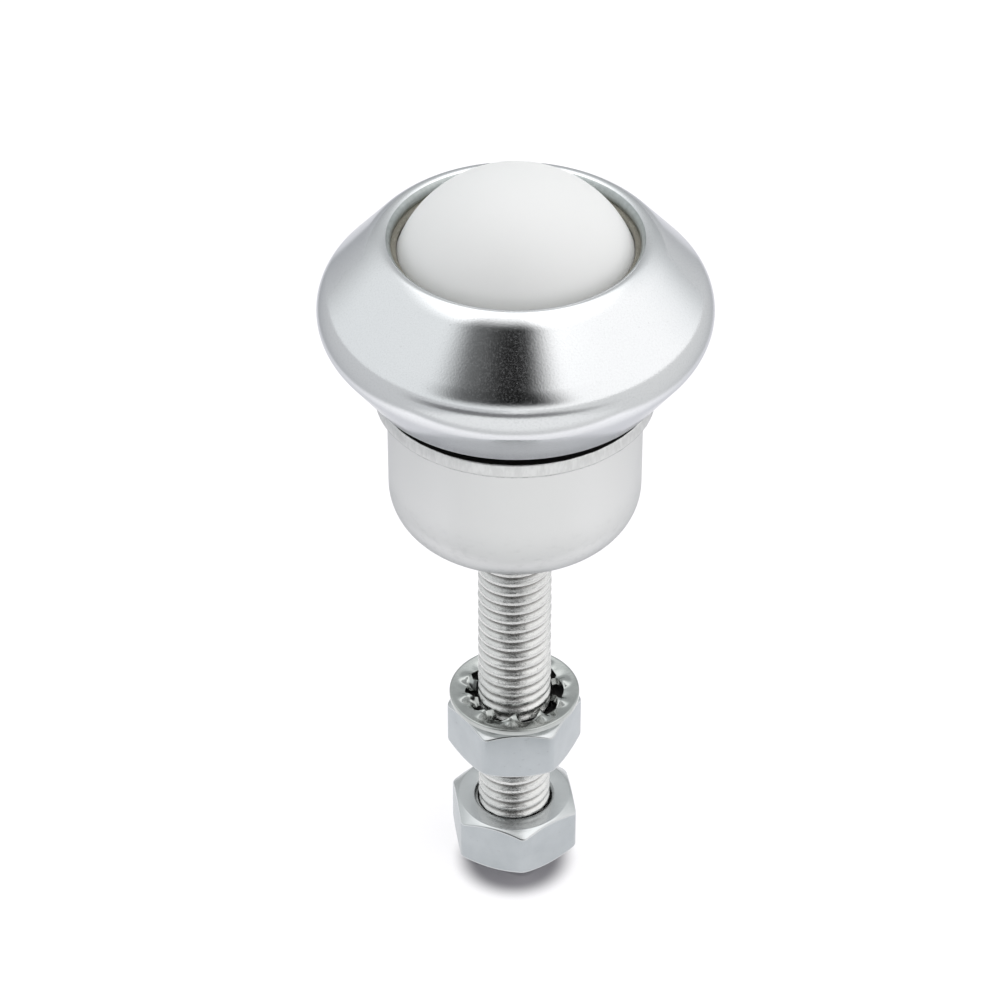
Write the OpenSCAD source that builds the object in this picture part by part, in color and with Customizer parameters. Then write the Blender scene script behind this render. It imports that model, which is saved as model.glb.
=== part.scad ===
// Ball transfer unit with a threaded stud.
// A nylon load ball turns on a bed of small steel balls in a hardened race. A pressed cap in the
// form of two cones holds them together, and a drawn cup carries the cap on an M8 stud with a
// lock washer and two nuts. The unit stands on its lower nut: z = 0 is the underside of that nut
// and Z is the axis of the stud.

/* [Load ball] */
// Diameter of the load ball
ball_d = 25.4; // [23:0.1:27]

/* [Ball bed] */
// Diameter of one support ball
bed_ball_d = 2.38; // [2.1:0.01:2.5]
// Clearance of a support ball to the load ball, to the race and to the next ball
bed_clearance = 0.05; // [0.03:0.01:0.08]
// Wall of the hardened race cup
race_wall = 0.8; // [0.5:0.05:1.1]
// Height of the race's rim above the centres of the top row of balls
race_rim_rise = 0.2; // [0:0.05:0.6]
// Sheet of the pressed ring that keeps the balls in the race
retainer_wall = 0.6; // [0.4:0.05:0.8]
// How far round the top row of balls the retainer reaches, in degrees
retainer_wrap = 120; // [100:1:125]

/* [Cap] */
// Sheet thickness of the cap
cap_wall = 1.1; // [0.8:0.05:1.3]
// Room for the balls between the race's wall and the cap at its widest
cap_room = 2.8; // [1.8:0.1:4]
// Outer radius of the bend between the two cones
cap_bend_r = 4.6; // [3:0.1:6]
// Depth of the widest part of the cap below the ball's centre
cap_bend_drop = 2.1; // [1:0.1:3]
// How much smaller the radius of the cap's opening is than the ball's
lip_catch = 0.17; // [0.1:0.01:0.4]
// Radius of the rounded lip round the opening
lip_r = 0.9; // [0.6:0.05:1.2]
// Height of the lip's rounding above the ball's centre
lip_rise = 5.6; // [5.2:0.1:6.4]
// Height of the straight wall inside the opening
lip_wall_h = 1; // [0.6:0.1:1.2]
// Radius of the rounded foot of the lower cone
foot_r = 0.8; // [0.5:0.05:1]
// Gap between the foot of the lower cone and the flange of the cup
foot_gap = 1.25; // [0.8:0.05:1.8]
// How far the centre of the foot's rounding stands out from the edge of the flange
foot_reach = 0.45; // [0.2:0.05:0.8]

/* [Felt wiper] */
// Gap between the felt and the ball at the underside of the felt
felt_clearance = 0.1; // [0.05:0.01:0.2]
// Gap between the felt and the cap and the retainer that hold it
felt_seat = 0.06; // [0.03:0.01:0.15]

/* [Stud cup] */
// Outside diameter of the drawn cup
cup_d = 26.1; // [24:0.1:27]
// Height of the cup from its underside to the top of its flange
cup_h = 17.2; // [15:0.1:22]
// Sheet thickness of the cup
cup_wall = 1.6; // [1.2:0.05:1.8]
// Outer radius of the bend round the bottom of the cup
cup_corner_r = 5; // [3:0.1:6.5]
// Radius under the flange where it leaves the wall
flange_bend_r = 1; // [0.6:0.05:1.2]
// Width of the flat edge of the flange past its bend
flange_edge = 0.25; // [0.1:0.05:0.8]

/* [Stud] */
// Diameter over the crests of the M8 thread
stud_d = 7.8; // [7.7:0.01:8]
// Pitch of the thread
thread_pitch = 1.25; // [1.1:0.05:1.5]
// Depth of the thread
thread_depth = 0.7; // [0.5:0.05:0.75]
// Width of the flat crest of the thread
thread_crest = 0.2; // [0.1:0.01:0.2]
// Thread between the upper nut and the cup
free_thread = 24.6; // [12:0.1:40]
// Depth of the stud's end inside the lower nut
stud_end_inset = 0.5; // [0.2:0.1:2]
// Chamfer at the end of the stud
stud_chamfer = 0.8; // [0.4:0.1:1.2]
// Diameter of the stud's head inside the cup
head_d = 16; // [12:0.1:17]
// Height of the stud's head
head_h = 3; // [2:0.1:5]
// Gap between the stud and the hole in the cup's floor
stud_hole_clearance = 0.1; // [0.05:0.01:0.3]

/* [Nuts] */
// Width across the flats of both nuts
nut_af = 12.75; // [12.5:0.05:13]
// Height of a nut
nut_h = 6.1; // [5:0.1:7]
// Thread between the two nuts
nut_gap = 7.6; // [3:0.1:15]
// Diameter over the truncated corners of a nut
nut_corner_d = 14.5; // [13.8:0.05:14.7]
// Diameter of the flat face inside the chamfer
nut_face_d = 12.2; // [11.5:0.05:12.5]
// Diameter of the countersink at each end of a nut's bore
nut_sink_d = 9; // [8.4:0.1:9.6]
// Gap between the crests of the stud and a nut's bore
thread_clearance = 0.06; // [0.03:0.01:0.09]
// Turn of the upper nut about the stud
upper_nut_turn = 3.7; // [0:0.1:60]
// Turn of the lower nut about the stud
lower_nut_turn = 38.2; // [0:0.1:60]

/* [Lock washer] */
// Outside diameter of the washer
washer_d = 14; // [13:0.1:15]
// Inner diameter of the washer's rim, where the teeth begin
washer_rim_in_d = 11; // [10.4:0.1:11.6]
// Diameter of the circle through the tips of the teeth
washer_tip_d = 8.7; // [8.5:0.05:9.2]
// Sheet thickness of the washer
washer_wall = 0.7; // [0.5:0.05:0.9]
// How far the inner edge of the rim lies below its outer edge
washer_dish = 0.15; // [0:0.05:0.4]
// Number of teeth
washer_teeth = 10; // [6:1:12]
// Width of a tooth where it leaves the rim
tooth_base_w = 2.4; // [1.8:0.1:2.6]
// Width of a tooth at its tip
tooth_tip_w = 1.5; // [1:0.1:1.7]
// Twist of a tooth from the rim to its tip, in degrees
tooth_twist = 32; // [15:1:45]
// Gap between the lowest corners of the teeth and the nut
tooth_gap = 0.06; // [0.03:0.01:0.3]

/* [Hidden] */

BED_ROWS = 10;
eps = 0.01;
round_fn = 144;
bed_fn = 48;
far = 60;

// Bed and race, as spheres about the ball's centre
ball_r = ball_d / 2;
bed_ball_r = bed_ball_d / 2;
bed_r = ball_r + bed_clearance + bed_ball_r;
race_in_r = bed_r + bed_ball_r + bed_clearance;
race_out_r = race_in_r + race_wall;
// The angle, seen from the ball's centre, between one row of the bed and the next
row_step = 2 * asin((bed_ball_r + bed_clearance / 2) / bed_r);
top_row = [bed_r * sin((BED_ROWS - 1) * row_step), -bed_r * cos((BED_ROWS - 1) * row_step)];
race_rim_z = top_row[1] + race_rim_rise;

// Retainer: a quarter ring round the top row with a foot on the race's rim
retainer_in_r = bed_ball_r + 2 * bed_clearance;
retainer_out_r = retainer_in_r + retainer_wall;
retainer_foot_z = race_rim_z + bed_clearance;
retainer_top_z = top_row[1] + retainer_out_r;

// Cap: the bowl under the race, then the two cones, all about the ball's centre
bowl_in_r = race_out_r + bed_clearance;
bowl_out_r = bowl_in_r + cap_wall;
cap_r = race_out_r + cap_room + cap_wall;
bend_c = [cap_r - cap_bend_r, -cap_bend_drop];
hole_r = ball_r - lip_catch;
lip_c = [hole_r + lip_r, lip_rise];
lip_under_z = lip_rise - lip_wall_h;

// Cup: the ring that its mouth bends round seats the bowl of the cap
cup_r = cup_d / 2;
mouth_r = flange_bend_r + cup_wall;
mouth_c_r = cup_r + flange_bend_r;
flange_r = mouth_c_r + flange_edge;
weld_gap = 0.02;
// Height of the ball's centre above the top of the flange
seat_rise = sqrt(pow(bowl_out_r + mouth_r + weld_gap, 2) - pow(mouth_c_r, 2)) - mouth_r;
foot_c = [flange_r + foot_reach, foot_gap + foot_r - seat_rise];

// Heights, from the underside of the lower nut up
upper_nut_z = nut_h + nut_gap;
washer_seat_z = upper_nut_z + nut_h;
cup_z = washer_seat_z + free_thread;
cup_floor_z = cup_z + cup_wall;
flange_z = cup_z + cup_h;
ball_z = flange_z + seat_rise;
stud_r = stud_d / 2;
bore_r = stud_r + thread_clearance;

// Thread: grooves with flanks at 60 degrees, from the stud's chamfer up to the cup
thread_z = stud_end_inset + stud_chamfer;
thread_turns = floor((cup_z - thread_z) / thread_pitch);
thread_flank = thread_depth * tan(30);

// The teeth stand on the nut, so their twist sets the height of the rim
tooth_wall = washer_wall - 0.1;
tooth_reach = tooth_tip_w / 2 * sin(tooth_twist) + tooth_wall / 2 * cos(tooth_twist);
tooth_z = tooth_gap + tooth_reach;

function unit(v) = v / norm(v);

// Outward normal of the line that touches two circles on their outer side
function outer_normal(c1, r1, c2, r2) =
    let (d = c2 - c1, u = unit(d), k = (r1 - r2) / norm(d),
         side = d[1] > 0 ? [u[1], -u[0]] : [-u[1], u[0]])
    u * k + side * sqrt(1 - k * k);

upper_n = outer_normal(bend_c, cap_bend_r, lip_c, lip_r);
lower_n = outer_normal(bend_c, cap_bend_r, foot_c, foot_r);

// Radius of the inner face of the upper cone at a height above the ball's centre
function upper_cone_in_r(z) =
    let (p = bend_c + (cap_bend_r - cap_wall) * upper_n)
    p[0] - (z - p[1]) * upper_n[1] / upper_n[0];

module disc(c, r) {
    translate(c) circle(r, $fn = round_fn);
}

module revolve(z = 0) {
    translate([0, 0, z]) rotate_extrude($fn = round_fn) children();
}

module load_ball() {
    color([0.93, 0.94, 0.93])
    translate([0, 0, ball_z]) sphere(ball_r, $fn = round_fn);
}

// Half-plane below a height, from the axis out
module below(z) {
    translate([0, z - far]) square([far, far]);
}

module cap_outline() {
    disc(bend_c, cap_bend_r);
    disc(lip_c, lip_r);
    disc(foot_c, foot_r);
    polygon([
        [0, foot_c[1]], foot_c, foot_c + foot_r * lower_n,
        bend_c + cap_bend_r * lower_n, bend_c + cap_bend_r * upper_n,
        lip_c + lip_r * upper_n, lip_c, [0, lip_c[1]]
    ]);
    intersection() {
        circle(bowl_out_r, $fn = round_fn);
        below(foot_c[1]);
    }
}

module cap_hollow() {
    foot_in = foot_c + (foot_r - cap_wall) * lower_n;
    disc(bend_c, cap_bend_r - cap_wall);
    polygon([
        [0, foot_in[1]], foot_in,
        bend_c + (cap_bend_r - cap_wall) * lower_n,
        bend_c + (cap_bend_r - cap_wall) * upper_n,
        [upper_cone_in_r(lip_under_z), lip_under_z], [0, lip_under_z]
    ]);
    intersection() {
        circle(bowl_in_r, $fn = round_fn);
        below(foot_in[1] + eps);
    }
    translate([0, lip_under_z - eps]) square([hole_r, far]);
}

module cap() {
    color([0.78, 0.80, 0.83])
    revolve(ball_z) intersection() {
        difference() {
            cap_outline();
            cap_hollow();
        }
        translate([0, -far]) square([far, 2 * far]);
    }
}

// A felt ring that fills the corner under the lip and wipes the ball
module felt_wiper() {
    bottom = retainer_top_z + felt_seat;
    top = lip_under_z - felt_seat;
    in_r = sqrt(pow(ball_r, 2) - pow(bottom, 2)) + felt_clearance;
    slant = felt_seat / upper_n[0];
    color([0.45, 0.42, 0.34])
    revolve(ball_z) polygon([
        [in_r, bottom], [upper_cone_in_r(bottom) - slant, bottom],
        [upper_cone_in_r(top) - slant, top], [in_r, top]
    ]);
}

module ball_retainer() {
    color([0.60, 0.60, 0.58])
    revolve(ball_z) {
        difference() {
            intersection() {
                disc(top_row, retainer_out_r);
                translate(top_row) polygon([
                    [0, 0], [0, retainer_foot_z - top_row[1]],
                    [far, retainer_foot_z - top_row[1]], [far, far],
                    far * [cos(retainer_wrap), sin(retainer_wrap)]
                ]);
            }
            disc(top_row, retainer_in_r);
        }
        translate([top_row[0] + retainer_in_r, retainer_foot_z])
            square([race_out_r - top_row[0] - retainer_in_r, retainer_wall]);
    }
}

module race_cup() {
    color([0.50, 0.51, 0.52])
    revolve(ball_z) intersection() {
        difference() {
            circle(race_out_r, $fn = round_fn);
            circle(race_in_r, $fn = round_fn);
        }
        translate([0, race_rim_z - far]) square([far, far]);
    }
}

// One row of support balls, with as many as fit round its circle
module bed_row(k) {
    r = bed_r * sin(k * row_step);
    share = (bed_ball_r + bed_clearance / 2) / max(r, bed_ball_r);
    n = k == 0 ? 1 : floor(180 / asin(min(share, 1)) + eps);
    color([0.72, 0.73, 0.75])
    for (i = [0:n - 1])
        rotate([0, 0, i * 360 / n])
            translate([r, 0, ball_z - bed_r * cos(k * row_step)])
                sphere(bed_ball_r, $fn = bed_fn);
}

// A quarter bend in the cup's sheet, by its outer radius
module bend(r) {
    intersection() {
        difference() {
            circle(r, $fn = round_fn);
            circle(r - cup_wall, $fn = round_fn);
        }
        square(r);
    }
}

// A drawn cup: floor, rounded corner, straight wall and a trimmed flange round its mouth
module stud_cup() {
    hole_in_r = stud_r + stud_hole_clearance;
    floor_r = cup_r - cup_corner_r;
    color([0.86, 0.87, 0.87])
    revolve(cup_z) {
        translate([hole_in_r, 0]) square([floor_r - hole_in_r, cup_wall]);
        translate([floor_r, cup_corner_r]) mirror([0, 1]) bend(cup_corner_r);
        translate([cup_r - cup_wall, cup_corner_r])
            square([cup_wall, cup_h - mouth_r - cup_corner_r]);
        translate([mouth_c_r, cup_h - mouth_r]) mirror([1, 0]) bend(mouth_r);
        translate([mouth_c_r, cup_h - cup_wall]) square([flange_edge, cup_wall]);
    }
}

// Outline of one groove of the thread, between the crests at z and at z + thread_pitch
function groove(z) =
    let (low = z + thread_crest / 2, high = z + thread_pitch - thread_crest / 2,
         root_r = stud_r - thread_depth)
    [[stud_r, low], [root_r, low + thread_flank],
     [root_r, high - thread_flank], [stud_r, high]];

// The grooves are rings at the thread's pitch, so the nuts slide and turn over their crests
module stud() {
    color([0.82, 0.82, 0.80])
    union() {
        revolve() polygon([
            [0, stud_end_inset], [stud_r - stud_chamfer, stud_end_inset],
            [stud_r, thread_z],
            for (i = [0:thread_turns - 1]) each groove(thread_z + i * thread_pitch),
            [stud_r, cup_floor_z], [0, cup_floor_z]
        ]);
        revolve(cup_floor_z) polygon([
            [0, 0], [head_d / 2, 0], [head_d / 2, head_h - stud_chamfer],
            [head_d / 2 - stud_chamfer, head_h], [0, head_h]
        ]);
    }
}

module hex_nut(z, turn) {
    chamfer_h = (nut_corner_d - nut_face_d) / 2 * tan(30);
    sink_h = nut_sink_d / 2 - bore_r;
    color([0.74, 0.77, 0.80])
    translate([0, 0, z]) difference() {
        intersection() {
            rotate([0, 0, turn]) cylinder(h = nut_h, r = nut_af / sqrt(3), $fn = 6);
            revolve() polygon([
                [0, 0], [nut_face_d / 2, 0], [nut_corner_d / 2, chamfer_h],
                [nut_corner_d / 2, nut_h - chamfer_h], [nut_face_d / 2, nut_h], [0, nut_h]
            ]);
        }
        revolve() polygon([
            [0, -eps], [bore_r + sink_h + eps, -eps], [bore_r, sink_h],
            [bore_r, nut_h - sink_h], [bore_r + sink_h + eps, nut_h + eps], [0, nut_h + eps]
        ]);
    }
}

module upper_nut() {
    hex_nut(upper_nut_z, upper_nut_turn);
}

module lower_nut() {
    hex_nut(0, lower_nut_turn);
}

// One tooth along +X: a bar that narrows as it leaves the rim and twists its -Y edge up
module tooth(in_r, out_r, steps = 6) {
    function corners(f) =
        let (x = in_r + (out_r - in_r) * f, a = -tooth_twist * (1 - f) * (1 - f * f),
             w = tooth_tip_w + (tooth_base_w - tooth_tip_w) * f, t = tooth_wall)
        [for (c = [[-w, -t], [w, -t], [w, t], [-w, t]] / 2)
            [x, c[0] * cos(a) - c[1] * sin(a), c[0] * sin(a) + c[1] * cos(a)]];
    points = [for (i = [0:steps]) each corners(i / steps)];
    sides = [for (i = [0:steps - 1], c = [0:3])
        let (p = 4 * i + c, q = 4 * i + (c + 1) % 4)
        each [[p, p + 4, q], [q, p + 4, q + 4]]];
    ends = [[0, 1, 2], [0, 2, 3], for (f = [[0, 2, 1], [0, 3, 2]]) [for (v = f) 4 * steps + v]];
    polyhedron(points, concat(sides, ends));
}

// Washer with teeth inside its rim: the rim is dished and each tooth is twisted
module lock_washer() {
    rim_in = washer_rim_in_d / 2;
    rim_out = washer_d / 2;
    half = washer_wall / 2;
    color([0.76, 0.78, 0.77])
    translate([0, 0, washer_seat_z + tooth_z]) union() {
        revolve() {
            polygon([
                [rim_in, -half], [rim_out - half, washer_dish - half],
                [rim_out - half, washer_dish + half], [rim_in, half]
            ]);
            disc([rim_out - half, washer_dish], half);
        }
        for (i = [0:washer_teeth - 1])
            rotate([0, 0, 360 / washer_teeth * i - 90])
                tooth(washer_tip_d / 2, rim_in + half);
    }
}

load_ball();
cap();
felt_wiper();
ball_retainer();
race_cup();
bed_row(0);  // bed_row_0
bed_row(1);  // bed_row_1
bed_row(2);  // bed_row_2
bed_row(3);  // bed_row_3
bed_row(4);  // bed_row_4
bed_row(5);  // bed_row_5
bed_row(6);  // bed_row_6
bed_row(7);  // bed_row_7
bed_row(8);  // bed_row_8
bed_row(9);  // bed_row_9
stud_cup();
stud();
lock_washer();
upper_nut();
lower_nut();
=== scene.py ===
"""The looks of a ball transfer unit: a nylon ball in a zinc-plated cap on a drawn cup, with an M8 stud,
a toothed lock washer and two nuts. All lengths are in metres. Places come from the frame, and the sizes
that its boxes don't give are named with each piece."""
import math

import bmesh
import bpy
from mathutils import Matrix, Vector, noise


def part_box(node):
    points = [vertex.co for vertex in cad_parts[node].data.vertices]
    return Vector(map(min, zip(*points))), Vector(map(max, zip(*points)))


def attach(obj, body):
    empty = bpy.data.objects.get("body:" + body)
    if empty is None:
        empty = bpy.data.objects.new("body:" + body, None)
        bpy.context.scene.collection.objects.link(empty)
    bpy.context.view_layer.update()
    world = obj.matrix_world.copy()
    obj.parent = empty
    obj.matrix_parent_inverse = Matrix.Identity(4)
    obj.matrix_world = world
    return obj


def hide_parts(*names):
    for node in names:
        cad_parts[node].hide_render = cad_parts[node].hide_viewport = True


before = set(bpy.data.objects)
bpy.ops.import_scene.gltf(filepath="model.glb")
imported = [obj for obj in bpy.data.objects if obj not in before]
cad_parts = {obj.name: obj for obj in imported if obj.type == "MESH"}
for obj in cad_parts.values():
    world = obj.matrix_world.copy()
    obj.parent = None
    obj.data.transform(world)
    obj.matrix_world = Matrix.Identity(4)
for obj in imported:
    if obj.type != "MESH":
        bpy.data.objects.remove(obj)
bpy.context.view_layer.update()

MM = 0.001


# ---------------------------------------------------------------- shader expressions

class Value:
    """A number that varies over a surface. Arithmetic on it adds Math nodes."""

    def __init__(self, nodes, socket):
        self.nodes = nodes
        self.socket = socket

    def __add__(self, other):
        return self.nodes.math("ADD", self, other)

    def __radd__(self, other):
        return self.nodes.math("ADD", other, self)

    def __sub__(self, other):
        return self.nodes.math("SUBTRACT", self, other)

    def __rsub__(self, other):
        return self.nodes.math("SUBTRACT", other, self)

    def __mul__(self, other):
        return self.nodes.math("MULTIPLY", self, other)

    def __rmul__(self, other):
        return self.nodes.math("MULTIPLY", other, self)

    def __truediv__(self, other):
        return self.nodes.math("DIVIDE", self, other)

    def __rtruediv__(self, other):
        return self.nodes.math("DIVIDE", other, self)

    def __neg__(self):
        return 0 - self

    def __abs__(self):
        return self.nodes.math("ABSOLUTE", self)

    def rise(self, low, high):
        """0 below low, 1 above high, with a smooth step between. It falls where low is the larger."""
        settings = {"interpolation_type": "SMOOTHSTEP"}
        values = {"Value": self, "From Min": min(low, high), "From Max": max(low, high)}
        step = self.nodes.add("ShaderNodeMapRange", settings, values)
        return step if low < high else 1 - step

    def between(self, low, high, soft):
        """1 between low and high, fading to 0 over soft at each end."""
        return self.rise(low - soft, low + soft) * self.rise(high + soft, high - soft)


class Nodes:
    """The node tree of one material, or of the world."""

    def __init__(self, tree):
        self.tree = tree
        self.tree.nodes.clear()

    def add(self, kind, settings=None, values=(), output=0):
        """Adds a node, gives it its settings and then its inputs, and returns one of its outputs."""
        node = self.tree.nodes.new(kind)
        for name, value in (settings or {}).items():
            setattr(node, name, value)
        named = values.items() if isinstance(values, dict) else enumerate(values)
        for name, value in named:
            if isinstance(value, Value):
                self.tree.links.new(value.socket, node.inputs[name])
            else:
                node.inputs[name].default_value = value
        return Value(self, node.outputs[output])

    def math(self, operation, *numbers):
        return self.add("ShaderNodeMath", {"operation": operation}, numbers)

    def mix(self, factor, first, second):
        """A colour between two colours."""
        colours = [c if isinstance(c, Value) else (*c, 1) for c in (first, second)]
        values = {0: factor, 6: colours[0], 7: colours[1]}
        return self.add("ShaderNodeMix", {"data_type": "RGBA"}, values, 2)

    def place(self, scale=(1, 1, 1)):
        """The point on the object, with each axis scaled."""
        point = self.add("ShaderNodeTexCoord", output="Object")
        return self.add("ShaderNodeMapping", {}, {"Vector": point, "Scale": scale})

    def axes(self, vector):
        """The three parts of a vector."""
        first = self.add("ShaderNodeSeparateXYZ", {}, [vector])
        return [Value(self, part) for part in first.socket.node.outputs]

    def height(self):
        """Height of the point."""
        return self.axes(self.place())[2]

    def distance(self, x, y):
        """Length of a level line x across and y deep."""
        return self.math("SQRT", x * x + y * y)

    def radius(self):
        """Distance of the point from the stud's axis."""
        x, y, _ = self.axes(self.place())
        return self.distance(x, y)

    def grain(self, size, detail=2.0, vector=None, roughness=0.5):
        """Noise from 0 to 1 whose features are about size across."""
        vector = vector or self.place()
        values = {"Vector": vector, "Scale": 1 / size, "Detail": detail, "Roughness": roughness}
        return self.add("ShaderNodeTexNoise", {}, values)

    def bump(self, height, distance, normal=None):
        """A normal from heights of about 0 to 1, where 1 stands for the distance."""
        values = {"Height": height, "Distance": distance, "Strength": 1.0}
        if normal:
            values["Normal"] = normal
        return self.add("ShaderNodeBump", {}, values)

    def surface(self, values):
        """Ends a material in a Principled shader."""
        self.output(self.add("ShaderNodeBsdfPrincipled", {}, values))

    def output(self, shader, kind="ShaderNodeOutputMaterial"):
        node = self.tree.nodes.new(kind)
        self.tree.links.new(shader.socket, node.inputs["Surface"])


def material(name):
    """A new material and the nodes to fill it with."""
    made = bpy.data.materials.new(name)
    made.use_nodes = True
    return made, Nodes(made.node_tree)


# ---------------------------------------------------------------- finishes

def white_nylon():
    """Moulded and ground nylon: half matt, and light goes a little way into it."""
    made, nodes = material("white_nylon")
    cloud = nodes.grain(6 * MM, 3)
    fine = nodes.grain(0.25 * MM, 2)
    nodes.surface({
        "Base Color": nodes.mix(cloud, (0.94, 0.945, 0.935), (0.965, 0.965, 0.96)),
        "Roughness": 0.40 + 0.10 * cloud,
        "Normal": nodes.bump(fine, 0.004 * MM),
        "Subsurface Weight": 0.35,
        "Subsurface Radius": (1, 1, 1),
        "Subsurface Scale": 2.5 * MM,
    })
    return made


def cap_zinc():
    """Satin zinc plate on a pressed sheet: a fine grain, a few dull specks, and painted shade that darkens
    the lower cone toward the foot.
    """
    made, nodes = material("cap_zinc")
    height = nodes.height()
    # painted shade: the colour darkens on the lower cone below the bend, and more toward the foot
    shoulder_shade = height.rise(ball_z - 2.6 * MM, ball_z - 4.3 * MM) * 0.06
    foot = height.rise(ball_z - 7.4 * MM, ball_z - 9.0 * MM) * 0.12
    cloud = nodes.grain(7 * MM, 3)
    fine = nodes.grain(0.20 * MM, 2)
    coarse = nodes.grain(1.6 * MM, 2)
    speck = nodes.grain(0.45 * MM, 1).rise(0.76, 0.82)
    clean = nodes.mix(cloud, (0.87, 0.885, 0.90), (0.91, 0.92, 0.93))
    plate = nodes.mix(speck * 0.3, clean, (0.55, 0.55, 0.56))
    nodes.surface({
        "Base Color": nodes.mix(shoulder_shade + foot, plate, (0.10, 0.10, 0.10)),
        "Metallic": 1 - 0.07 * fine.rise(0.42, 0.72),
        "Roughness": 0.12 + 0.05 * cloud,
        "Normal": nodes.bump(coarse, 0.0020 * MM, nodes.bump(fine, 0.0042 * MM)),
        "Specular Tint": (0.62, 0.63, 0.65, 1),
    })
    return made


def pierced_zinc():
    """The punched edge of the cap's hole: greyer plate with shear marks round it."""
    made, nodes = material("pierced_zinc")
    marks = nodes.grain(0.5 * MM, 3, nodes.place((1, 1, 0.4)))
    nodes.surface({
        "Base Color": nodes.mix(marks, (0.36, 0.39, 0.385), (0.56, 0.59, 0.585)),
        "Metallic": 1.0,
        "Roughness": 0.26 + 0.12 * marks,
        "Normal": nodes.bump(marks, 0.02 * MM),
    })
    return made


def recess_shade():
    """Painted shade: a near-black colour, slightly mottled, for a recess that little light reaches."""
    made, nodes = material("recess_shade")
    shade_mottle = nodes.grain(0.6 * MM, 4)
    nodes.surface({
        "Base Color": nodes.mix(shade_mottle, (0.004, 0.004, 0.004), (0.014, 0.013, 0.012)),
        "Roughness": 0.55 + 0.3 * shade_mottle,
        "Normal": nodes.bump(shade_mottle, 0.03 * MM),
    })
    return made


def cup_zinc(edge_r, edge_low):
    """Whiter, duller plate: draw lines down the wall, painted shade that darkens the wall toward the bottom
    corner, stains round that corner, and a trimmed edge with shear marks and painted shade along its
    underside."""
    made, nodes = material("cup_zinc")
    radius = nodes.radius()
    height = nodes.height()
    cloud = nodes.grain(6 * MM, 3)
    fine = nodes.grain(0.22 * MM, 3)
    drawn = nodes.grain(0.35 * MM, 3, nodes.place((1, 1, 0.06)))
    sheared = nodes.grain(0.45 * MM, 4, nodes.place((1, 1, 0.35)))
    marks = sheared.rise(0.35, 0.65)
    edge = radius.rise(edge_r - 0.25 * MM, edge_r - 0.05 * MM) * height.rise(edge_low - 0.3 * MM, edge_low)
    # painted shade along the lower part of the trimmed edge, broken by the shear marks
    edge_shade = edge * height.rise(edge_low + 0.30 * MM, edge_low + 0.10 * MM)
    # painted shade: the wall's colour darkens toward the bottom corner; the stains there are real
    corner = height.rise(edge_low - 7 * MM, edge_low - 16 * MM)
    stain = nodes.grain(1.1 * MM, 4, nodes.place((1, 1, 1.6))).rise(0.50, 0.75) * corner
    clean = nodes.mix(cloud, (0.955, 0.96, 0.955), (0.98, 0.98, 0.975))
    wall = nodes.mix(corner, clean, (0.68, 0.69, 0.69))
    stained = nodes.mix(stain * 0.4, wall, (0.50, 0.51, 0.51))
    edge_shaded = nodes.mix(edge_shade * (0.35 + 0.4 * marks), stained, (0.30, 0.30, 0.30))
    nodes.surface({
        "Base Color": nodes.mix(edge * (1 - marks) * 0.35, edge_shaded, (0.66, 0.66, 0.66)),
        "Metallic": 0.78,
        "Roughness": 0.36 + 0.08 * cloud - 0.08 * edge,
        "Normal": nodes.bump(fine * 0.4 + drawn * 0.5 * (1 - edge) + sheared * 3 * edge, 0.008 * MM),
        "Specular Tint": (0.45, 0.46, 0.47, 1),
    })
    return made


def thread_zinc(crest_r, root_r):
    """Rolled thread under plate: rough flanks, torn crests, painted shade in the roots and a few dark pits.
    """
    made, nodes = material("thread_zinc")
    fine = nodes.grain(0.14 * MM, 4, nodes.place((1, 1, 1.6)))
    torn = nodes.grain(0.75 * MM, 5, nodes.place((1, 1, 5.0)), 0.62)
    pit = nodes.grain(0.32 * MM, 2).rise(0.71, 0.77)
    # painted shade: the colour darkens toward the thread's roots
    root_shade = nodes.radius().rise(crest_r - 0.55 * (crest_r - root_r), root_r) * (0.5 + torn)
    metal = nodes.mix(torn, (0.68, 0.68, 0.67), (0.88, 0.88, 0.865))
    root_shaded = nodes.mix(root_shade * 0.9, metal, (0.30, 0.29, 0.28))
    nodes.surface({
        "Base Color": nodes.mix(pit * 0.75, root_shaded, (0.20, 0.19, 0.18)),
        "Metallic": 1.0,
        "Roughness": 0.16 + 0.22 * torn,
        "Normal": nodes.bump(fine * 0.15 + torn, 0.060 * MM),
    })
    return made


def washer_zinc():
    """Glossy plate over hardened sheet, a little greenish."""
    made, nodes = material("washer_zinc")
    cloud = nodes.grain(1.5 * MM, 3)
    fine = nodes.grain(0.2 * MM, 2)
    nodes.surface({
        "Base Color": nodes.mix(cloud, (0.44, 0.46, 0.445), (0.60, 0.62, 0.605)),
        "Metallic": 1.0,
        "Roughness": 0.11 + 0.10 * cloud,
        "Normal": nodes.bump(fine * 0.3 + cloud, 0.02 * MM),
    })
    return made


def nut_flat_zinc():
    """The cold-formed sides of the nuts: satin, with a slow ripple, small dents and dark specks."""
    made, nodes = material("nut_flat_zinc")
    cloud = nodes.grain(2.5 * MM, 3)
    fine = nodes.grain(0.18 * MM, 3)
    dent = nodes.grain(1.1 * MM, 2).rise(0.68, 0.80)
    speck = nodes.grain(0.5 * MM, 3, nodes.place((1, 1, 1.6))).rise(0.66, 0.76)
    plate = nodes.mix(cloud, (0.42, 0.452, 0.468), (0.555, 0.585, 0.60))
    nodes.surface({
        "Base Color": nodes.mix(speck * 0.30, plate, (0.20, 0.20, 0.20)),
        "Metallic": 1.0,
        "Roughness": 0.27 + 0.08 * cloud,
        "Normal": nodes.bump(fine * 0.25 + cloud * 1.5 - dent * 0.6, 0.012 * MM),
    })
    return made


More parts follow.
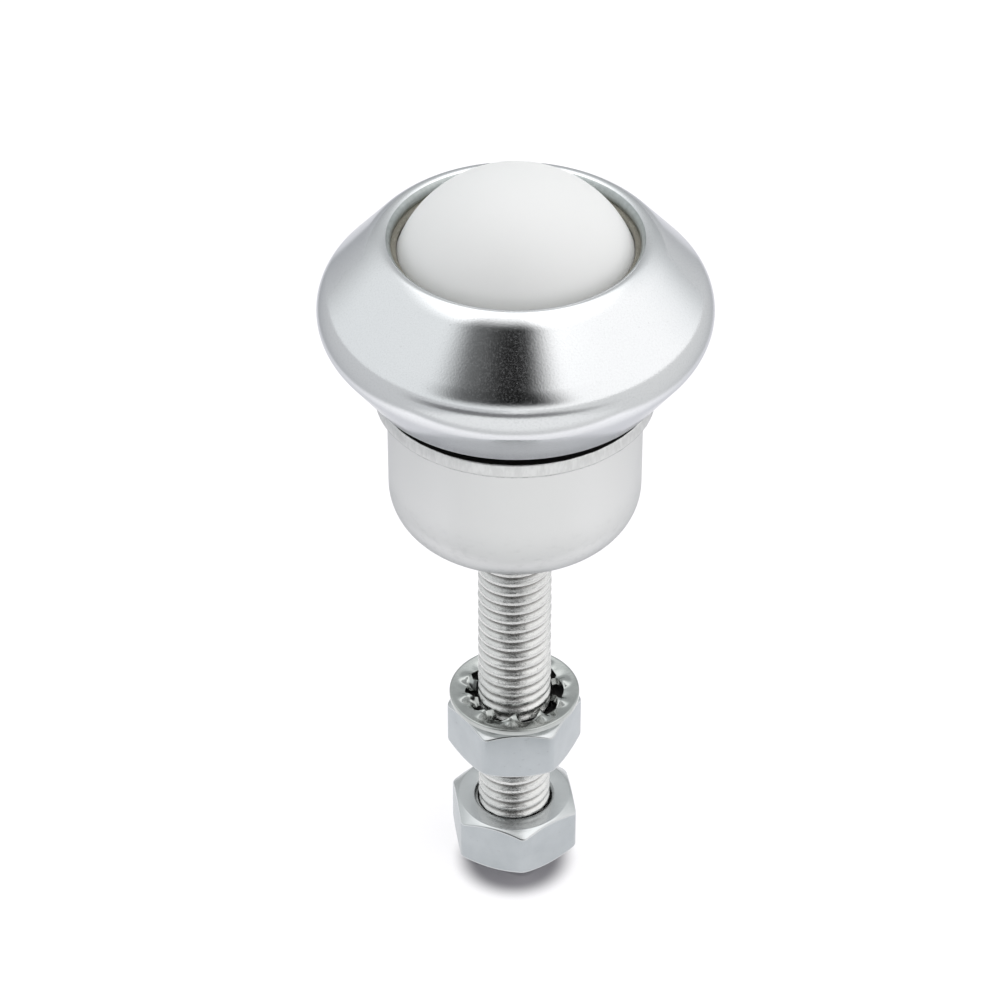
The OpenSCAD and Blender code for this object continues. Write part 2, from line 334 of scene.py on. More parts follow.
def nut_turned_zinc():
    """The chamfers, faces and countersinks of the nuts: turned, with fine rings."""
    made, nodes = material("nut_turned_zinc")
    cloud = nodes.grain(1.8 * MM, 3)
    rings = {"W": nodes.radius(), "Scale": 1 / (0.12 * MM), "Detail": 2.0}
    ring = nodes.add("ShaderNodeTexNoise", {"noise_dimensions": "1D"}, rings)
    nodes.surface({
        "Base Color": nodes.mix(cloud, (0.58, 0.60, 0.605), (0.68, 0.70, 0.705)),
        "Metallic": 1.0,
        "Roughness": 0.16 + 0.12 * cloud,
        "Normal": nodes.bump(ring * 0.3 + cloud, 0.01 * MM),
    })
    return made


def wool_felt():
    """Pressed wool, olive brown: fibres in every direction and a dusty top."""
    made, nodes = material("wool_felt")
    fibre = nodes.grain(0.10 * MM, 5, nodes.place((1, 1, 3)), 0.7)
    tuft = nodes.grain(0.45 * MM, 3)
    wool = nodes.mix(tuft, (0.16, 0.15, 0.115), (0.27, 0.25, 0.20))
    nodes.surface({
        "Base Color": nodes.mix(fibre.rise(0.3, 0.7), wool, (0.40, 0.38, 0.315)),
        "Roughness": 0.85 + 0.15 * fibre,
        "Normal": nodes.bump(fibre + tuft, 0.12 * MM),
        "Sheen Weight": 0.3,
    })
    return made


def oiled_steel(name, dark, light, gloss):
    """Hardened or pressed steel inside the cap, oiled, with a faint temper colour."""
    made, nodes = material(name)
    cloud = nodes.grain(3 * MM, 3)
    fine = nodes.grain(0.2 * MM, 2)
    nodes.surface({
        "Base Color": nodes.mix(cloud, dark, light),
        "Metallic": 1.0,
        "Roughness": gloss + 0.10 * cloud,
        "Normal": nodes.bump(fine, 0.004 * MM),
    })
    return made


# ---------------------------------------------------------------- building meshes

def smooth(share):
    """A soft step from 0 to 1."""
    share = min(1.0, max(0.0, share))
    return share * share * (3 - 2 * share)


def arc(centre, radius, start, end, count):
    """Points on an arc in the profile plane, from one angle to another in degrees."""
    angles = [math.radians(start + (end - start) * i / count) for i in range(count + 1)]
    return [(centre[0] + radius * math.cos(a), centre[1] + radius * math.sin(a)) for a in angles]


def outer_normal(first, first_r, second, second_r):
    """Outward normal of the line that touches two circles on the side away from the axis."""
    along = Vector(second) - Vector(first)
    lean = (first_r - second_r) / along.length
    along.normalize()
    side = Vector((along.y, -along.x)) if along.y > 0 else Vector((-along.y, along.x))
    return along * lean + side * math.sqrt(1 - lean * lean)


def angle_of(normal):
    """Angle of a vector in the profile plane, in degrees."""
    return math.degrees(math.atan2(normal[1], normal[0]))


def rounded(corners, radius, count):
    """A closed profile with each corner rounded by a curve of the given radius, or as much as fits."""
    points = []
    for i, corner in enumerate(corners):
        here = Vector(corner)
        back = Vector(corners[i - 1]) - here
        ahead = Vector(corners[(i + 1) % len(corners)]) - here
        half = back.angle(ahead) / 2
        cut = min(radius / math.tan(half), back.length * 0.45, ahead.length * 0.45)
        start = here + back.normalized() * cut
        end = here + ahead.normalized() * cut
        for k in range(count + 1):
            t = k / count
            points.append(tuple(start * (1 - t) ** 2 + here * 2 * t * (1 - t) + end * t ** 2))
    return points


def ripple(turn, waves, height, layer=0):
    """A small unevenness at an angle about the axis. Each layer has another pattern."""
    around = Vector((math.cos(turn), math.sin(turn), 0))
    return height * noise.noise(around * waves + Vector((0, 0, layer)))


def new_object(name, mesh, smooth_angle=40):
    """Puts a finished bmesh into the scene, smooth except at its true edges."""
    bmesh.ops.recalc_face_normals(mesh, faces=mesh.faces)
    data = bpy.data.meshes.new(name)
    mesh.to_mesh(data)
    mesh.free()
    for face in data.polygons:
        face.use_smooth = True
    data.set_sharp_from_angle(angle=math.radians(smooth_angle))
    made = bpy.data.objects.new(name, data)
    bpy.context.scene.collection.objects.link(made)
    return made


def turned(name, outline_at, steps, smooth_angle, closed=True, slots=None):
    """Turns an outline of (radius, height) points about Z. outline_at gives the outline at each angle.
    A closed outline makes a ring, and an open one ends on the axis. slots gives each strip's material."""
    mesh = bmesh.new()
    columns = []
    poles = None
    for i in range(steps):
        turn = 2 * math.pi * i / steps
        outline = outline_at(turn)
        if not closed:
            poles = poles or [mesh.verts.new((0, 0, outline[k][1])) for k in (0, -1)]
            outline = outline[1:-1]
        columns.append([mesh.verts.new((r * math.cos(turn), r * math.sin(turn), z)) for r, z in outline])
    rows = len(columns[0])
    for i, here in enumerate(columns):
        after = columns[(i + 1) % steps]
        for k in range(rows if closed else rows - 1):
            j = (k + 1) % rows
            face = mesh.faces.new((here[k], after[k], after[j], here[j]))
            face.material_index = slots[k] if slots else 0
        if not closed:
            mesh.faces.new((poles[0], after[0], here[0]))
            mesh.faces.new((poles[1], here[-1], after[-1]))
    return new_object(name, mesh, smooth_angle)


def dress(piece, body, slot, finishes, *nodes):
    """Finishes a piece and puts it in the place of the frame's solids of the same piece."""
    for finish in finishes:
        piece.data.materials.append(finish)
    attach(piece, body)
    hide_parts(*nodes)


# ---------------------------------------------------------------- places, from the frame

def low_high(node):
    """Lowest and highest height of a node."""
    low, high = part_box(node)
    return low[2], high[2]


def reach(node):
    """Largest radius of a node that is turned about the axis."""
    low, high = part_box(node)
    return max(high[0], high[1])


ball_low, ball_high = low_high("load_ball")
ball_r = (ball_high - ball_low) / 2
ball_z = (ball_high + ball_low) / 2
cup_low, flange_top = low_high("stud_cup")
stud_low, stud_high = low_high("stud")
washer_high = low_high("lock_washer")[1]


# ---------------------------------------------------------------- the cap

CAP_WALL = 1.1 * MM
CAP_BEND_R = 4.6 * MM
CAP_BEND_DROP = 2.1 * MM        # from the ball's centre down to the cap's widest part
LIP_CATCH = 0.17 * MM           # how much smaller the hole's radius is than the ball's
LIP_R = 0.9 * MM
LIP_RISE = 5.6 * MM
LIP_WALL_H = 0.35 * MM
LIP_BLEND_R = 5.5 * MM          # the wide arc that leads from the upper cone into the lip
LIP_BLEND_TURN = 17             # degrees of that arc
PIERCED_W = 0.20 * MM           # how far past the ball's radius the punched edge shows
FOOT_R = 0.8 * MM
FOOT_GAP = 1.25 * MM
FOOT_REACH = 0.45 * MM
BOWL_SEAT = 0.05 * MM
BOWL_STEPS = 30


def cap_outline():
    """The cap's section about the ball's centre, from the bottom of the bowl outside to the bottom inside."""
    bowl_in = reach("race_cup") + BOWL_SEAT
    bowl_out = bowl_in + CAP_WALL
    hole_r = ball_r - LIP_CATCH
    lip = (hole_r + LIP_R, LIP_RISE)
    bend = (reach("cap") - CAP_BEND_R, -CAP_BEND_DROP)
    foot = (reach("stud_cup") + FOOT_REACH, flange_top + FOOT_GAP + FOOT_R - ball_z)
    upper = outer_normal(bend, CAP_BEND_R, lip, LIP_R)
    lower = outer_normal(bend, CAP_BEND_R, foot, FOOT_R)
    # the lip sinks a little, so that a wide arc leads into it from the cone
    sunk = (LIP_BLEND_R - LIP_R) * (1 - math.cos(math.radians(LIP_BLEND_TURN)))
    lip = Vector(lip) - sunk * upper
    lip_start = angle_of(upper) + LIP_BLEND_TURN
    lead = math.radians(lip_start)
    blend = lip + (LIP_R - LIP_BLEND_R) * Vector((math.cos(lead), math.sin(lead)))
    under = LIP_RISE - LIP_WALL_H
    inner_bend = Vector(bend) + (CAP_BEND_R - CAP_WALL) * upper
    inner_top = (inner_bend.x - (under - inner_bend.y) * upper.y / upper.x, under)
    shelf = Vector(foot) + (FOOT_R - CAP_WALL) * lower
    # where the outside of the bowl runs into the foot's rounding
    foot_away = Vector(foot).length
    along = (bowl_out ** 2 - FOOT_R ** 2 + foot_away ** 2) / (2 * foot_away)
    across = math.sqrt(bowl_out ** 2 - along ** 2)
    out = Vector(foot).normalized()
    meet = out * along + Vector((out.y, -out.x)) * across
    bowl_top = angle_of(meet)
    foot_start = angle_of(meet - Vector(foot))
    shelf_start = math.degrees(math.asin(shelf.y / bowl_in))
    return [
        *arc((0, 0), bowl_out, -90, bowl_top, BOWL_STEPS),
        *arc(foot, FOOT_R, foot_start, angle_of(lower), 10)[1:],
        *arc(bend, CAP_BEND_R, angle_of(lower), angle_of(upper), 36),
        *arc(blend, LIP_BLEND_R, angle_of(upper), lip_start, 8),
        *arc(lip, LIP_R, lip_start, 180, 14)[1:],
        (lip.x - LIP_R, under), inner_top,
        *arc(bend, CAP_BEND_R - CAP_WALL, angle_of(upper), angle_of(lower), 12),
        tuple(shelf),
        *arc((0, 0), bowl_in, shelf_start, -90, 20),
    ]


def build_cap():
    """The pressed cap. The outside of its bowl, which shows only in the gap over the cup, is painted
    near-black as shade.
    """
    section = cap_outline()
    outline = [(r, z + ball_z) for r, z in section]
    plated, painted_shade, pierced = range(3)
    # the bowl's outside gets painted shade
    slots = [painted_shade] * (BOWL_STEPS - 1)
    for start, end in zip(section[BOWL_STEPS:], section[BOWL_STEPS + 1:]):
        at_hole = max(start[0], end[0]) < ball_r + PIERCED_W and end[1] > 0
        slots.append(pierced if at_hole else plated)
    cap = turned("pressed_cap", lambda turn: outline, steps=288, smooth_angle=35, closed=False, slots=slots)
    dress(cap, "housing", "zinc_cap", [cap_zinc(), recess_shade(), pierced_zinc()], "cap")


# ---------------------------------------------------------------- the felt wiper

FELT_GAP = 0.10 * MM
FELT_SEAT = 0.06 * MM
FELT_STEPS = 6
FELT_TOP_STEPS = 8
FELT_EDGE_H = 0.25 * MM         # the worn edge beside the ball, its height and its width
FELT_EDGE_W = 0.12 * MM
FELT_NAP = 0.05 * MM
TUFTS = 1800                    # tufts and fibres in a metre of felt
FIBRES = 5200


def build_felt():
    """A felt ring that follows the ball, with an uneven top under the lip."""
    low = low_high("felt_wiper")[0] - ball_z
    bend = Vector((reach("cap") - CAP_BEND_R, -CAP_BEND_DROP))
    upper = outer_normal(bend, CAP_BEND_R, (ball_r - LIP_CATCH + LIP_R, LIP_RISE), LIP_R)
    inside = bend + (CAP_BEND_R - CAP_WALL - FELT_SEAT) * upper
    top = LIP_RISE - LIP_WALL_H - FELT_SEAT
    heights = [low + (top - FELT_EDGE_H - low) * i / FELT_STEPS for i in range(FELT_STEPS + 1)]
    follow = [(math.sqrt(ball_r ** 2 - z * z) + FELT_GAP, z + ball_z) for z in heights]
    inner = follow[-1][0] + FELT_EDGE_W
    outer = inside.x - (top - inside.y) * upper.y / upper.x
    corner = (inside.x - (low - inside.y) * upper.y / upper.x, low + ball_z)

    def outline(turn):
        around = Vector((math.cos(turn), math.sin(turn), 0))
        section = list(follow)
        for i in range(FELT_TOP_STEPS + 1):
            r = inner + (outer - inner) * i / FELT_TOP_STEPS
            nap = noise.noise(around * r * TUFTS) + noise.noise(around * r * FIBRES)
            section.append((r, top + ball_z + FELT_NAP * (nap - 1)))
        return section + [corner]

    felt = turned("felt_ring", outline, steps=480, smooth_angle=60)
    dress(felt, "housing", "felt", [wool_felt()], "felt_wiper")


# ---------------------------------------------------------------- the stud cup

CUP_WALL = 1.6 * MM
CUP_CORNER_R = 5.0 * MM
CUP_R = 13.05 * MM
FLANGE_BEND_R = 1.0 * MM
FLANGE_EDGE_ROUND = 0.12 * MM
STUD_HOLE_R = 4.0 * MM
MOUTH_STEPS = 12
INNER_STEPS = 12


def cup_outline(turn, edge_r):
    """The cup's section at one angle: its trimmed edge is a little uneven."""
    height = flange_top - cup_low
    mouth_r = FLANGE_BEND_R + CUP_WALL
    mouth = (CUP_R + FLANGE_BEND_R, height - mouth_r)
    edge = edge_r + ripple(turn, 40, 0.025 * MM) + ripple(turn, 5, 0.03 * MM)
    top = height + ripple(turn, 9, 0.03 * MM, 3)
    low = height - CUP_WALL + ripple(turn, 14, 0.04 * MM, 7)
    upper_round = FLANGE_EDGE_ROUND
    lower_round = FLANGE_EDGE_ROUND * 1.5
    section = [
        (STUD_HOLE_R, 0),
        *arc((CUP_R - CUP_CORNER_R, CUP_CORNER_R), CUP_CORNER_R, -90, 0, 20),
        *arc(mouth, FLANGE_BEND_R, 180, 90, 10),
        *arc((edge - lower_round, low + lower_round), lower_round, -90, 0, 4),
        *arc((edge - upper_round, top - upper_round), upper_round, 0, 90, 4),
        *arc(mouth, mouth_r, 90, 180, MOUTH_STEPS),
        *arc((CUP_R - CUP_CORNER_R, CUP_CORNER_R), CUP_CORNER_R - CUP_WALL, 0, -90, INNER_STEPS),
        (STUD_HOLE_R, CUP_WALL),
    ]
    return [(r, z + cup_low) for r, z in section]


def build_cup():
    """The drawn cup. From the top of its flange inwards it is painted near-black as shade."""
    edge_r = reach("stud_cup")
    strips = len(cup_outline(0, edge_r))
    # besides the two arcs: the flange's top, the inner wall, the floor and the edge of the stud's hole
    inside = MOUTH_STEPS + INNER_STEPS + 4
    plated, painted_shade = range(2)
    # from the flange's top inwards the cup gets painted shade
    slots = [plated] * (strips - inside) + [painted_shade] * inside
    cup = turned("drawn_cup", lambda turn: cup_outline(turn, edge_r), steps=360, smooth_angle=35, slots=slots)
    dress(cup, "housing", "zinc_cup", [cup_zinc(edge_r, flange_top - CUP_WALL), recess_shade()], "stud_cup")


# ---------------------------------------------------------------- the stud

PITCH = 1.25 * MM
THREAD_R = 3.9 * MM
THREAD_DEPTH = 0.42 * MM
THREAD_CREST = 0.22             # share of the pitch that is flat crest
THREAD_FLANKS = 0.76            # share of the pitch that is flank
THREAD_START = 0.43             # share of the pitch by which the helix is turned
THREAD_STEPS = 112
THREAD_ROWS = 16
TEAR_SQUEEZE = 0.6              # squeezes the tears' pattern, so that they run round the stud
TEARS_COARSE = 1100             # tears in a metre
TEARS_FINE = 3300
TEAR_DEPTH = 0.07 * MM
TEAR_SHIFT = 0.04 * MM
STUD_CHAMFER = 0.8 * MM
HEAD_R = 8.0 * MM
HEAD_H = 3.0 * MM


def thread_point(turn, along, depth):
    """A point of the thread, with the crest a little torn and the end chamfered."""
    height = stud_low + along * PITCH
    out = Vector((math.cos(turn), math.sin(turn), 0))
    here = out * THREAD_R * TEAR_SQUEEZE + Vector((0, 0, height))
    torn = noise.noise(here * TEARS_COARSE) * 0.6 + noise.noise(here * TEARS_FINE) * 0.4
    radius = THREAD_R - depth * THREAD_DEPTH + torn * (1 - depth) * TEAR_DEPTH
    radius = min(radius, THREAD_R - STUD_CHAMFER + max(height - stud_low, 0))
    return out * radius + Vector((0, 0, height + torn * (1 - depth) * TEAR_SHIFT))


def thread_depth(share):
    """How deep the worn thread is at a share of its pitch, from 0 on the crest to 1 at the root."""
    flank = (1 - abs(2 * share - 1) - THREAD_CREST) / THREAD_FLANKS
    return smooth(flank) * 0.5 + min(1.0, max(0.0, flank)) * 0.5


def build_stud():
    """A helical thread, cut off level at the stud's end and at the cup's floor, with the head above it."""
    mesh = bmesh.new()
    head_low = stud_high - HEAD_H
    turns = math.ceil((head_low - stud_low) / PITCH) + 2
    shares = [i / THREAD_ROWS for i in range(THREAD_ROWS)]
    rows = [(k + share, thread_depth(share)) for k in range(-1, turns) for share in shares]
    grid = []
    for i in range(THREAD_STEPS):
        lead = i / THREAD_STEPS
        turn = 2 * math.pi * lead
        grid.append([mesh.verts.new(thread_point(turn, along + lead + THREAD_START - 1, depth))
                     for along, depth in rows])
    for i, here in enumerate(grid):
        last = i == THREAD_STEPS - 1
        after = grid[0][THREAD_ROWS:] if last else grid[i + 1]
        for k in range(min(len(here), len(after)) - 1):
            mesh.faces.new((here[k], after[k], after[k + 1], here[k + 1]))
    for height, keep_above in ((stud_low, True), (head_low, False)):
        cut = bmesh.ops.bisect_plane(
            mesh, geom=mesh.verts[:] + mesh.edges[:] + mesh.faces[:], plane_co=(0, 0, height),
            plane_no=(0, 0, 1), clear_inner=keep_above, clear_outer=not keep_above)
        rim = [part for part in cut["geom_cut"] if isinstance(part, bmesh.types.BMEdge)]
        bmesh.ops.edgeloop_fill(mesh, edges=rim)
    head = bmesh.ops.create_cone(mesh, cap_ends=True, segments=96, radius1=HEAD_R, radius2=HEAD_R,
                                 depth=stud_high - head_low)
    bmesh.ops.translate(mesh, verts=head["verts"], vec=(0, 0, (stud_high + head_low) / 2))
    stud = new_object("threaded_stud", mesh, 50)
    dress(stud, "housing", "zinc_thread", [thread_zinc(THREAD_R, THREAD_R - THREAD_DEPTH)], "stud")


# ---------------------------------------------------------------- the nuts

NUT_APOTHEM = 6.375 * MM
NUT_CORNER_ROUND = 0.9 * MM
NUT_FACE_R = 6.1 * MM
NUT_SINK_R = 4.4 * MM
NUT_BORE_R = 3.96 * MM
NUT_CHAMFER = math.radians(30)
NUT_EDGE_ROUND = 0.25 * MM
NUT_EDGE_STEPS = 3
UPPER_FLAT_TURN = math.radians(-86.3)
LOWER_FLAT_TURN = math.radians(-81.8 + 30)


def hexagon_radius(turn):
    """Radius of a hexagon with rounded corners, at an angle from the middle of a flat."""
    sixth = math.pi / 3
    off = abs((turn + sixth / 2) % sixth - sixth / 2)
    inner = NUT_APOTHEM - NUT_CORNER_ROUND
    if off < math.atan(inner * math.tan(sixth / 2) / NUT_APOTHEM):
        return NUT_APOTHEM / math.cos(off)
    centre = inner / math.cos(sixth / 2)
    left = sixth / 2 - off
    return centre * math.cos(left) + math.sqrt(NUT_CORNER_ROUND ** 2 - (centre * math.sin(left)) ** 2)


def nut_outline(turn, low, high):
    """The nut's section at an angle from the middle of a flat, starting at the foot of the bore."""
    side = hexagon_radius(turn)
    chamfer = (side - NUT_FACE_R) * math.tan(NUT_CHAMFER)
    sink = NUT_SINK_R - NUT_BORE_R
    corners = [
        (NUT_BORE_R, low + sink), (NUT_SINK_R, low), (NUT_FACE_R, low), (side, low + chamfer),
        (side, high - chamfer), (NUT_FACE_R, high), (NUT_SINK_R, high), (NUT_BORE_R, high - sink),
    ]
    return rounded(corners, NUT_EDGE_ROUND, NUT_EDGE_STEPS)


def build_nut(name, node, body, flat_turn, finishes, shaded_top=False):
    """A nut with a flat that faces flat_turn. Its bore is painted near-black as shade, and its top face can
    be painted so too.
    """
    low, high = low_high(node)
    formed, cut, painted_shade = range(3)
    # each of the section's eight corners starts a run of strips: its rounding, then the straight after it
    run = NUT_EDGE_STEPS + 1
    slots = [cut] * (8 * run)
    flat = 4 * run - 1
    slots[flat] = formed
    # painted shade in the bore, and on the top face when that is asked for
    bore = [*range(7 * run, 8 * run), *range(NUT_EDGE_STEPS)]
    top = range(6 * run - 1, 7 * run) if shaded_top else ()
    for strip in (*bore, *top):
        slots[strip] = painted_shade

    def outline(turn):
        return nut_outline(turn - flat_turn, low, high)

    nut = turned(name, outline, steps=360, smooth_angle=28, slots=slots)
    dress(nut, body, "zinc_nut", finishes, node)


# ---------------------------------------------------------------- the lock washer

WASHER_WALL = 0.7 * MM
WASHER_R = 7.0 * MM
WASHER_EDGE_ROUND = 0.16 * MM
WASHER_WAVE_R = 6.45 * MM
WASHER_SLOT_R = 5.35 * MM
WASHER_TIP_R = 4.2 * MM
WASHER_DISH = 0.25 * MM
WASHER_DROP = 0.18 * MM         # keeps the teeth out of the cup when the nut is screwed up to it
WASHER_TURN = math.radians(-88)
WAVE_H = 0.36 * MM              # the swellings where a twisted tooth pulls on the rim
WAVE_AT = 0.60 * MM
WAVE_W = 0.55 * MM
LEFT_WAVE = 1.0
RIGHT_WAVE = 0.3
TEETH = 10
TOOTH_BASE_W = 1.68 * MM
TOOTH_TIP_W = 0.95 * MM
TOOTH_TWIST = math.radians(-60)
TOOTH_LIFT = 0.08 * MM
TOOTH_FLARE = 0.25              # share of a tooth's length over which it widens into the rim
TWIST_PACE = 1.4                # above 1 the twist is complete before the tip
TOOTH_COLUMNS = 12
RIM_ROWS = 13
TOOTH_ROWS = 15
WORN_EDGE = 0.13 * MM


def washer_rows():
    """Rows across one tooth and its share of the rim: (radius, half width, twist, wave, height)."""
    half_pitch = math.pi / TEETH
    rim_r = WASHER_R - WASHER_EDGE_ROUND
    rows = []
    for i in range(RIM_ROWS):
        r = rim_r - (rim_r - WASHER_SLOT_R) * i / (RIM_ROWS - 1)
        wave = smooth((WASHER_WAVE_R - r) / (WASHER_WAVE_R - WASHER_SLOT_R))
        drop = WASHER_DISH * (rim_r - r) / (rim_r - WASHER_SLOT_R)
        rows.append((r, half_pitch * r, 0.0, -wave * WAVE_H, -drop))
    for i in range(1, TOOTH_ROWS):
        part = i / (TOOTH_ROWS - 1)
        r = WASHER_SLOT_R - (WASHER_SLOT_R - WASHER_TIP_R) * part
        width = TOOTH_BASE_W + (TOOTH_TIP_W - TOOTH_BASE_W) * part
        pinch = max(0.0, 1 - part / TOOTH_FLARE)
        flare = 1 - math.sqrt(1 - pinch ** 2)
        half_w = width / 2 + (half_pitch * r - width / 2) * flare
        turned_in = smooth(part * TWIST_PACE)
        rise = TOOTH_LIFT * part - WASHER_DISH
        rows.append((r, half_w, TOOTH_TWIST * turned_in, -WAVE_H * (1 - turned_in), rise))
    return rows


def swell(y, side, share):
    """Height and slope of the swelling on one side of a tooth, as a share of the wave."""
    off = (y - side * WAVE_AT) / WAVE_W
    height = share * math.exp(-off * off)
    return height, -2 * off / WAVE_W * height


def washer_section(mid, first_turn):
    """One tooth with its share of the rim: rows of (top points, bottom points) from the rim to the tip."""
    half = WASHER_WALL / 2
    section = []
    for r, half_w, twist, wave, rise in washer_rows():
        pair = []
        for side in (1, -1):
            line = []
            for c in range(-TOOTH_COLUMNS, TOOTH_COLUMNS + 1):
                y = half_w * c / TOOTH_COLUMNS
                right, right_slope = swell(y, 1, RIGHT_WAVE)
                left, left_slope = swell(y, -1, LEFT_WAVE)
                lean = twist + math.atan(wave * (right_slope - left_slope))
                across = y * math.cos(twist) - side * half * math.sin(lean)
                up = y * math.sin(twist) + wave * (right - left) + side * half * math.cos(lean)
                turn = first_turn + across / r
                line.append(Vector((r * math.cos(turn), r * math.sin(turn), mid + rise + up)))
            pair.append(line)
        section.append(pair)
    return section


def build_washer():
    """The washer, tooth by tooth: its faces, the walls of the slots, the tips and the rounded outer edge."""
    mesh = bmesh.new()
    half = WASHER_WALL / 2
    mid = washer_high - WASHER_DROP - half
    bend = WASHER_EDGE_ROUND
    rim = [
        *arc((WASHER_R - bend, half - bend), bend, 90, 0, 4),
        *arc((WASHER_R - bend, bend - half), bend, 0, -90, 4),
    ]
    columns = range(2 * TOOTH_COLUMNS)
    half_pitch = math.pi / TEETH
    for tooth in range(TEETH):
        turn = 2 * math.pi * tooth / TEETH + WASHER_TURN
        section = [[[mesh.verts.new(point) for point in line] for line in pair]
                   for pair in washer_section(mid, turn)]
        for (top, low), (next_top, next_low) in zip(section, section[1:]):
            for c in columns:
                mesh.faces.new((top[c], top[c + 1], next_top[c + 1], next_top[c]))
                mesh.faces.new((low[c + 1], low[c], next_low[c], next_low[c + 1]))
        slot = RIM_ROWS - 1
        for (top, low), (next_top, next_low) in zip(section[slot:], section[slot + 1:]):
            mesh.faces.new((top[0], next_top[0], next_low[0], low[0]))
            mesh.faces.new((next_top[-1], top[-1], low[-1], next_low[-1]))
        tip_top, tip_low = section[-1]
        for c in columns:
            mesh.faces.new((tip_top[c], tip_top[c + 1], tip_low[c + 1], tip_low[c]))
        spread = [turn + half_pitch * c / TOOTH_COLUMNS for c in range(-TOOTH_COLUMNS, TOOTH_COLUMNS + 1)]
        edge = [section[0][0]]
        for r, up in rim[1:-1]:
            edge.append([mesh.verts.new((r * math.cos(a), r * math.sin(a), mid + up)) for a in spread])
        edge.append(section[0][1])
        for here, after in zip(edge, edge[1:]):
            for c in columns:
                mesh.faces.new((here[c + 1], here[c], after[c], after[c + 1]))
    bmesh.ops.remove_doubles(mesh, verts=mesh.verts, dist=0.002 * MM)
    washer = new_object("lock_washer_teeth", mesh, 50)
    bevel = washer.modifiers.new("worn_edges", "BEVEL")
    bevel.width = WORN_EDGE
    bevel.segments = 3
    bevel.limit_method = "ANGLE"
    bevel.angle_limit = math.radians(50)
    dress(washer, "washer", "zinc_washer", [washer_zinc()], "lock_washer")


# ---------------------------------------------------------------- the pieces that keep their solids

BED_ROWS = 10


def refinish(node, finish):
    """Gives a solid of the frame its own finish."""
    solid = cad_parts[node]
    solid.data.materials.clear()
    solid.data.materials.append(finish)


def finish_solids():
    """The load ball, and the pieces inside the cap."""
    refinish("load_ball", white_nylon())
    refinish("ball_retainer", oiled_steel("pressed_steel", (0.50, 0.50, 0.48), (0.62, 0.62, 0.60), 0.30))
    refinish("race_cup", oiled_steel("race_steel", (0.32, 0.32, 0.33), (0.46, 0.46, 0.47), 0.22))
    ball_steel = oiled_steel("bearing_ball_steel", (0.62, 0.63, 0.65), (0.72, 0.73, 0.75), 0.06)
    for row in range(BED_ROWS):
        refinish(f"bed_row_{row}", ball_steel)


# ---------------------------------------------------------------- the stage, light and camera

AIM = Vector((-1.55, 0, 46.5)) * MM
CAMERA_RISE = math.radians(37.3)
CAMERA_AWAY = 393.8 * MM
CAMERA_LENS = 136.8
FLOOR_R = 6.0
FLOOR_GLOW = 0.78
SHADOW_R = 4.2 * MM
SHADOW_SOFT = 3.0 * MM
SHADOW_AHEAD = 3.9 * MM


def build_floor():
    """A wide pale floor, with painted shade toward the left and painted light just in front. Under and behind
    the unit it glows up to white, apart from the unit's own shadow, and a dark strip of painted shade crosses
    it in front, standing for the drop past a table's edge."""
    mesh = bmesh.new()
    bmesh.ops.create_circle(mesh, cap_ends=True, segments=96, radius=FLOOR_R)
    floor = new_object("studio_floor", mesh)
    made, nodes = material("pale_floor")
    x, y, _ = nodes.axes(nodes.place())
    away = nodes.distance(x, y)
    ahead = -y / away
    # painted shade: a dark strip across the floor in front
    strip = away.between(215 * MM, 480 * MM, 25 * MM) * ahead.rise(0.42, 0.85) * x.rise(260 * MM, 60 * MM)
    # painted shade: the floor's paint darkens toward the left
    sides = nodes.mix(x.rise(40 * MM, -80 * MM), (0.74, 0.74, 0.74), (0.62, 0.625, 0.635))
    # painted light: the floor's paint is paler just in front of the unit
    near = y.rise(-45 * MM, -75 * MM) * x.between(-90 * MM, 90 * MM, 25 * MM)
    table = nodes.mix(near, sides, (0.90, 0.90, 0.90))
    pale = nodes.mix(strip, table, (0.16, 0.16, 0.165))
    sweep = (abs(x) - 0.11 * y).rise(84 * MM, 58 * MM) * y.rise(-46 * MM, -26 * MM)
    sweep = sweep * y.rise(320 * MM, 200 * MM)
    paint = nodes.add("ShaderNodeBsdfDiffuse", {}, {"Color": nodes.mix(sweep, pale, (0.320, 0.310, 0.332))})
    clear = nodes.distance(x, y + SHADOW_AHEAD).rise(SHADOW_R, SHADOW_R + SHADOW_SOFT)
    camera = nodes.add("ShaderNodeLightPath", output="Is Camera Ray")
    glossy = nodes.add("ShaderNodeLightPath", output="Is Glossy Ray")
    through = nodes.add("ShaderNodeLightPath", output="Is Transmission Ray")
    strength = (camera * clear + glossy + through) * sweep * FLOOR_GLOW
    glow = nodes.add("ShaderNodeEmission", {}, {"Color": (1, 1, 1, 1), "Strength": strength})
    nodes.output(nodes.add("ShaderNodeAddShader", {}, [paint, glow]))
    floor.data.materials.append(made)


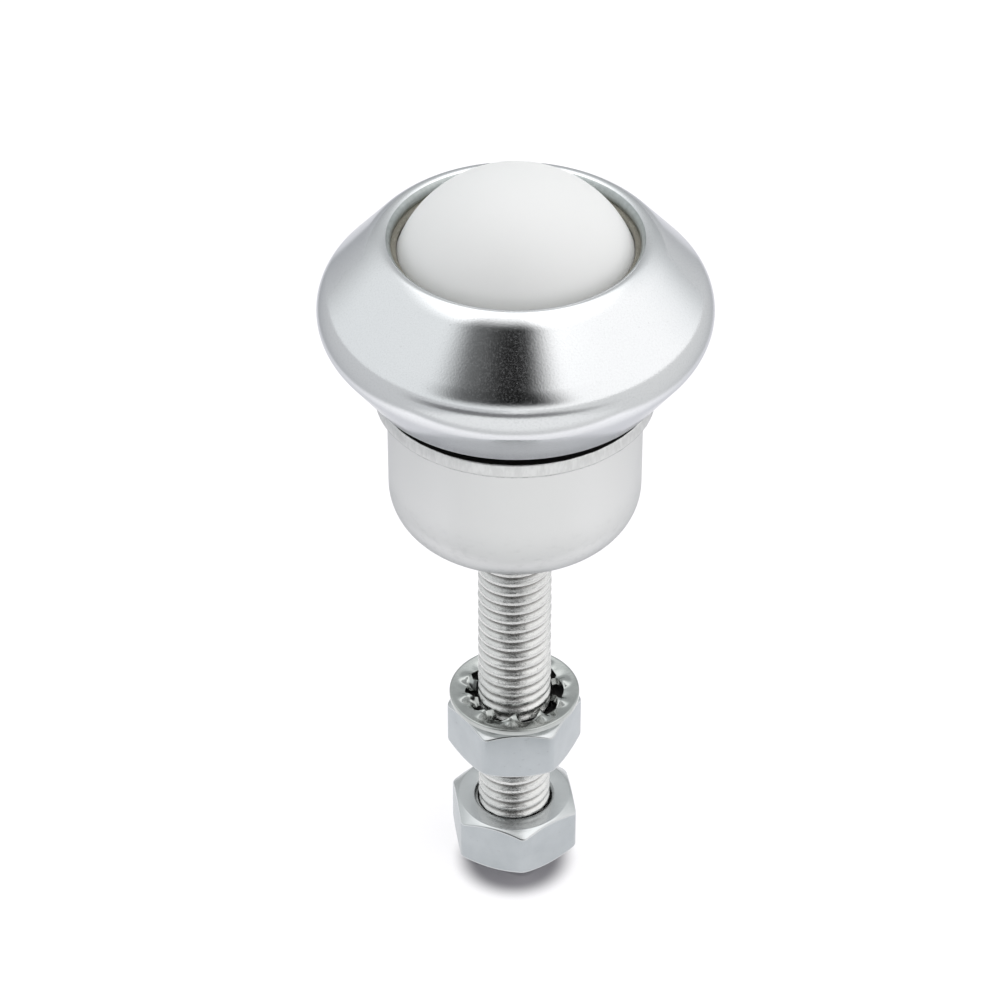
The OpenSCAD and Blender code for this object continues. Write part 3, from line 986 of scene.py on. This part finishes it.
def light_the_tent():
    """A light tent: bright above, a little darker on the left and behind, and with a dark opening in front
    for the camera. Directions are in degrees: turn from the front to the right, and rise over the floor."""
    scene = bpy.context.scene
    scene.world = bpy.data.worlds.new("light_tent")
    scene.world.use_nodes = True
    nodes = Nodes(scene.world.node_tree)
    x, y, z = nodes.axes(nodes.add("ShaderNodeTexCoord", output="Generated"))
    rise = nodes.math("ARCSINE", z) * math.degrees(1)
    turn = nodes.math("ARCTAN2", x, -y) * math.degrees(1)
    right = turn.rise(-40, 25) * turn.rise(150, 95)
    behind = y.rise(0.45, 0.95)
    top = rise.rise(38, 70)
    wall = (0.82 + 0.24 * right) * (1 - 0.38 * behind)
    shell = wall * (1 - top) + 1.54 * top
    skew = turn + 0.12 * (rise - 35)
    opening = skew.between(-43.5, 22, 13) * rise.rise(0, 16) * rise.rise(88, 50)
    gap = opening * (0.865 + 0.13 * skew.rise(-34, -4))
    tint = nodes.mix(right + top * (1 - right), (0.965, 0.99, 1.0), (1.0, 1.0, 1.0))
    glow = nodes.add("ShaderNodeBackground", {}, {"Color": tint, "Strength": shell * (1 - gap)})
    nodes.output(glow, "ShaderNodeOutputWorld")


def place_camera():
    """The camera in front of the unit, looking down at it."""
    lens = bpy.data.cameras.new("camera")
    lens.lens = CAMERA_LENS
    lens.sensor_width = 36
    lens.clip_start = 0.01
    camera = bpy.data.objects.new("camera", lens)
    camera.location = AIM + CAMERA_AWAY * Vector((0, -math.cos(CAMERA_RISE), math.sin(CAMERA_RISE)))
    camera.rotation_euler = (math.pi / 2 - CAMERA_RISE, 0, 0)
    bpy.context.scene.collection.objects.link(camera)
    bpy.context.scene.camera = camera


# ---------------------------------------------------------------- the whole unit

place_camera()
build_floor()
light_the_tent()
bpy.context.scene.view_settings.view_transform = "Standard"

build_cap()
build_felt()
build_cup()
build_stud()
nut_finishes = [nut_flat_zinc(), nut_turned_zinc(), recess_shade()]
# the upper nut's top face, against the cup, gets painted shade
build_nut("upper_hex_nut", "upper_nut", "nut_above", UPPER_FLAT_TURN, nut_finishes, shaded_top=True)
build_nut("lower_hex_nut", "lower_nut", "nut_below", LOWER_FLAT_TURN, nut_finishes)
build_washer()
finish_solids()
